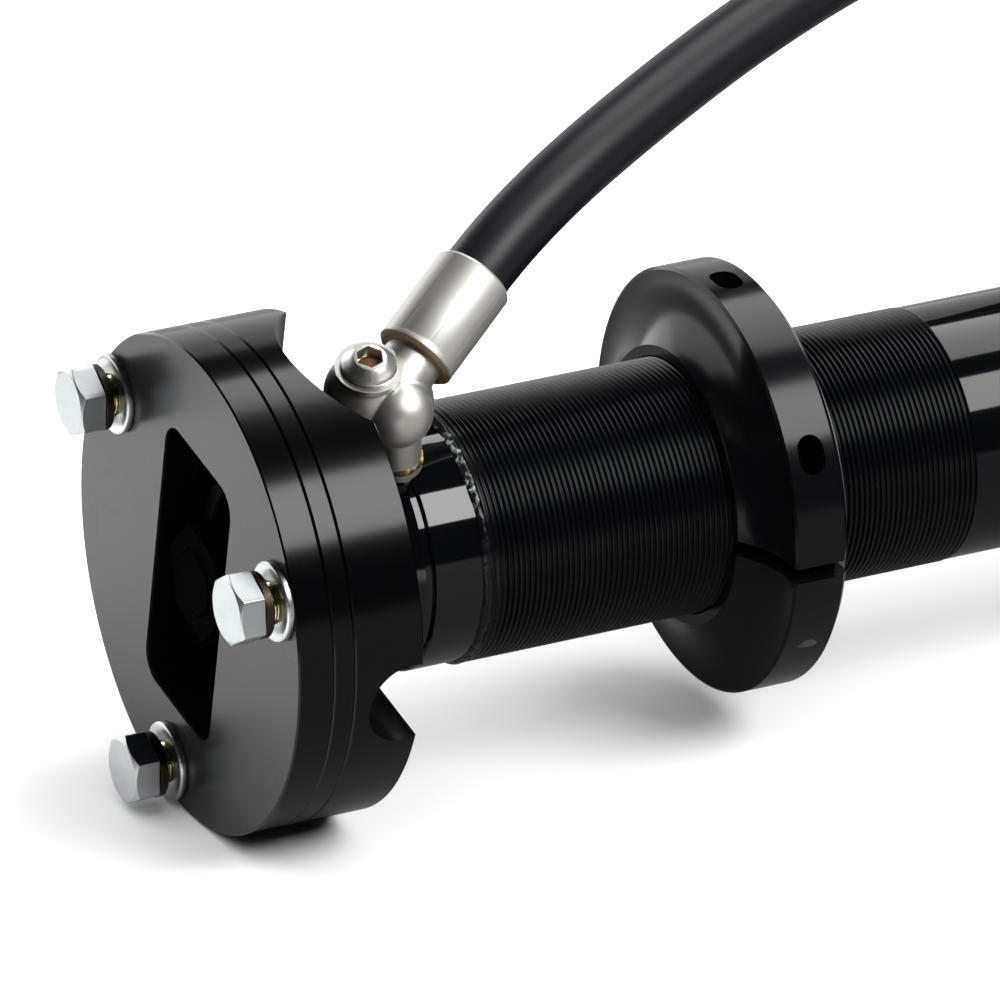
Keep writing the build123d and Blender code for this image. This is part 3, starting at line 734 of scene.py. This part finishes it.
SCREW_CLOCK, SOCKET_AF = 0.5, 4.9
screw_frame = frame_of(seat_at, SCREW_DIR, SCREW_CLOCK)
screw = lathe(
    "banjo_bolt",
    [(-8.0, 3.5), (1.15, 3.5), (1.2, 5.2), (1.35, 5.45), (1.9, 5.5), (2.15, 5.35), (2.5, 5.0), (3.3, 4.15),
     (3.95, 3.55), (4.15, 3.25), (4.2, 2.9)],
    screw_frame, 96,
)
cut(screw, hex_bar("socket", SOCKET_AF, 1.5, 6.0, screw_frame))
sharpen(screw, 25)
place(screw, "damper_body", "stainless_screw", "screw", "banjo_screw")
residue = Paint("socket_residue", (0.07, 0.035, 0.015), 0.7, IOR=1.2)
residue.tint(residue.noise(700, 3.0), (0.025, 0.012, 0.006), (0.12, 0.065, 0.028))
residue.bump(residue.noise(1500, 3.0), 0.5, 0.1)
MATERIALS["residue"] = residue
plug = lathe("socket_floor", [(1.4, 2.3), (1.75, 2.3), (1.9, 1.2), (1.85, 0.3)], screw_frame, 32)
place(plug, "damper_body", "stainless_screw", "residue")

stem_axis = (BANJO_BALL - STEM_FOOT).normalized()
amber = Paint("amber_sealant", (0.20, 0.12, 0.02), 0.25, IOR=1.45)
amber_patches = amber.ramp(amber.noise(420, 3.0), [(0.45, 0.0), (0.60, 1.0)])
amber.tint(amber_patches, (0.02, 0.013, 0.006), (0.42, 0.27, 0.04))
amber.bump(amber.noise(1100, 3.0), 0.5, 0.1)
MATERIALS["amber"] = amber


def foot_wobble(a, h):
    """Lumps on the sealant at the stem's foot."""
    return 0.18 * noise.noise(Vector((math.cos(a) * 3.0, math.sin(a) * 3.0, h)))


foot = lathe("stem_sealant", [(0.4, 4.4), (0.5, 4.85), (0.9, 4.98), (1.4, 4.85), (1.7, 4.68), (1.8, 4.4)],
             frame_of(STEM_FOOT, stem_axis), 96, closed=True, wobble=foot_wobble)
place(foot, "damper_body", "sealant", "amber")

# ---- mount bolts and washers -----------------------------------------------------
BOLT_PCD_R, MOUNT_CLOCK = 42.5, 12.0
FLAT_T, GAP, SPRING_T, HEAD_H, HEAD_AF = 1.6, 1.8, 2.0, 5.3, 13.0
FACE_R = HEAD_AF / 2 - 0.3
HEAD_BASE = FLAT_T + GAP + SPRING_T
HEAD_TURNS = [26, -27, 29]
HEAD_CORNER_R = 7.42    # the six corners, slightly rounded
SHANK_R, SHANK_DEPTH, SHANK_PITCH, SHANK_REACH = 4.0, 0.62, 1.25, 9.0
SPRING_CLOCK, SPRING_CLOCK_STEP = 100, 50
MATERIALS["yellow_zinc"] = plated("yellow_zinc_thread", (0.62, 0.56, 0.36), 0.22)


def bolt_head(name, matrix):
    """A hexagon head whose corners are turned off by a shallow cone."""
    segments = 96
    points, rows = [], 6
    for row in range(rows):
        for j in range(segments):
            a = 2 * math.pi * j / segments
            corner = hex_radius(a, HEAD_AF, HEAD_CORNER_R)
            shoulder = HEAD_BASE + HEAD_H - (corner - FACE_R) * 0.62
            r, h = [
                (4.0, HEAD_BASE), (corner - 0.12, HEAD_BASE), (corner, HEAD_BASE + 0.12),
                (corner, shoulder), (FACE_R, HEAD_BASE + HEAD_H), (0.5, HEAD_BASE + HEAD_H),
            ][row]
            points.append(matrix @ (Vector((r * math.cos(a), r * math.sin(a), h)) * MM))
    faces = grid_faces(rows, segments)
    faces.append(tuple(range(segments))[::-1])
    faces.append(tuple(range((rows - 1) * segments, rows * segments)))
    obj = mesh_object(name, points, faces)
    sharpen(obj, 14)
    bevel(obj, 0.10, 2, 14)
    return obj


def split_washer(name, matrix):
    """A spring lock washer: a square section wound just under one turn, its ends apart."""
    inner, outer, steps = 4.15, 6.6, 84
    gap = math.radians(9)
    points = []
    for k in range(steps + 1):
        a = gap / 2 + (2 * math.pi - gap) * k / steps
        lift = FLAT_T + GAP + 0.25 * (k / steps)
        for r, h in ((inner, 0.0), (outer, 0.0), (outer, SPRING_T - 0.3), (inner, SPRING_T - 0.3)):
            points.append(matrix @ (Vector((r * math.cos(a), r * math.sin(a), lift + h)) * MM))
    faces = [
        (4 * k + m, 4 * k + (m + 1) % 4, 4 * k + 4 + (m + 1) % 4, 4 * k + 4 + m)
        for k in range(steps) for m in range(4)
    ]
    faces += [(0, 1, 2, 3)[::-1], tuple(4 * steps + m for m in range(4))]
    obj = mesh_object(name, points, faces)
    work = bmesh.new()
    work.from_mesh(obj.data)
    bmesh.ops.recalc_face_normals(work, faces=work.faces)
    work.to_mesh(obj.data)
    work.free()
    sharpen(obj, 40)
    bevel(obj, 0.18, 2, 40)
    return obj


def flat_washer(name, matrix):
    """A plain washer with its edges rounded by stamping."""
    profile = [
        (0.0, 4.3), (0.0, 7.7), (0.12, 7.93), (0.4, 8.0), (1.15, 8.0), (1.42, 7.9), (1.56, 7.68),
        (FLAT_T, 7.4), (FLAT_T, 4.5), (1.45, 4.3),
    ]
    obj = lathe(name, profile, matrix, 96, closed=True)
    sharpen(obj, 50)
    return obj


def mount_bolt(index):
    """One bolt of the top mount with its two washers; the first stands for all three in CAD."""
    angle = math.radians(MOUNT_CLOCK + 30 + 120 * index)
    centre = Vector((0, BOLT_PCD_R * math.cos(angle), BOLT_PCD_R * math.sin(angle))) * MM
    outward = Matrix.Translation(centre) @ Matrix(((0, 0, -1, 0), (0, 1, 0, 0), (1, 0, 0, 0), (0, 0, 0, 1)))
    turned = outward @ Matrix.Rotation(math.radians(HEAD_TURNS[index]), 4, "Z")
    split_at = outward @ Matrix.Rotation(math.radians(SPRING_CLOCK + SPRING_CLOCK_STEP * index), 4, "Z")
    first = index == 0
    head = bolt_head(f"bolt_head_{index}", turned)
    place(head, "top_mount", "zinc_bolt", "zinc", *(["mount_bolts"] if first else []))
    shank = screw_thread(
        f"bolt_thread_{index}", -SHANK_REACH, HEAD_BASE, SHANK_R, SHANK_DEPTH, SHANK_PITCH, turned, 0.6, 48,
    )
    place(shank, "top_mount", "zinc_bolt", "yellow_zinc")
    lock = split_washer(f"lock_washer_{index}", split_at)
    place(lock, "top_mount", "zinc_washer", "spring_washer", *(["spring_washers"] if first else []))
    flat = flat_washer(f"flat_washer_{index}", outward)
    place(flat, "top_mount", "zinc_washer", "washer", *(["flat_washers"] if first else []))


for bolt in range(3):
    mount_bolt(bolt)


# ---- floor and lights ------------------------------------------------------------
FLOOR_Z, FLOOR_HALF = -0.0502, 9.0
# After SEEN come the floor's colours as glossy rays see them: a painted dim reflection for the tubes and a
# painted bright one for the plates.
SEEN, PAINTED_DIM_REFLECTION, PAINTED_BRIGHT_REFLECTION = (0.70,) * 3, (0.20,) * 3, (0.90,) * 3
floor_corners = [(x, y, FLOOR_Z) for x, y in ((-1, -1), (1, -1), (1, 1), (-1, 1))]
floor_corners = [(x * FLOOR_HALF, y * FLOOR_HALF, z) for x, y, z in floor_corners]
floor = mesh_object("floor", floor_corners, [(0, 1, 2, 3)])
floor_paint = Paint("floor_white_painted_reflections", (0.66, 0.66, 0.66), 0.9, IOR=1.2)
# Painted reflections: glossy rays see the floor painted bright just before the plates and dim everywhere
# else, so the plates mirror a bright floor and the tubes a dim one.
mirrored = floor_paint.node("ShaderNodeLightPath").outputs["Is Glossy Ray"]
floor_x, floor_y, _ = floor_paint.split(floor_paint.coords)
near_side = floor_paint.range(floor_x, 1.0, 0.0, -0.02, 0.01)
far_side = floor_paint.range(floor_x, 0.0, 1.0, -0.20, -0.14)
in_front = floor_paint.range(floor_y, 1.0, 0.0, 0.22, 0.32)
painted_bright_reflection_area = floor_paint.math("MULTIPLY", floor_paint.math("MULTIPLY", near_side, far_side), in_front)
painted_reflection_colour = floor_paint.mix(painted_bright_reflection_area, PAINTED_DIM_REFLECTION, PAINTED_BRIGHT_REFLECTION)
floor_paint.tint(mirrored, SEEN, painted_reflection_colour)
floor.data.materials.append(floor_paint.mat)


LIT_POINT = Vector((0.09, 0, 0))


def softbox(name, direction, distance, width, height, radiance, colour=(1, 1, 1), glossy=True):
    """A rectangular light aimed at the sleeve; its energy follows from how bright it looks."""
    light = bpy.data.lights.new(name, "AREA")
    light.shape = "RECTANGLE"
    light.size, light.size_y = width, height
    light.energy = radiance * math.pi * width * height
    light.color = colour
    obj = add_object(name, light)
    aim = Vector(direction).normalized()
    obj.location = LIT_POINT + aim * distance
    obj.rotation_mode = "QUATERNION"
    obj.rotation_quaternion = (-aim).to_track_quat("-Z", "Y")
    obj.visible_glossy = glossy
    return obj


softbox("key", (0.40, -0.60, 0.69), 1.5, 0.85, 0.66, 17.0)
softbox("overhead", (0.50, 0.27, 0.83), 1.4, 0.8, 0.62, 8.0)
softbox("backdrop", (0.35, 1.0, 0.30), 2.2, 4.4, 1.5, 1.1)
softbox("side", (-0.45, 0.85, 0.16), 1.7, 1.9, 0.8, 3.0)
softbox("fill", (0.0, 0.0, 1.0), 2.6, 7.0, 7.0, 2.2, glossy=False)

world = bpy.data.worlds.new("studio")
world.use_nodes = True
background = world.node_tree.nodes["Background"]
background.inputs["Color"].default_value = (0.55, 0.6, 0.7, 1)
background.inputs["Strength"].default_value = 0.02
bpy.context.scene.world = world
bpy.context.scene.view_settings.view_transform = "Standard"
bpy.context.scene.view_settings.look = "None"
bpy.context.scene.render.film_transparent = False
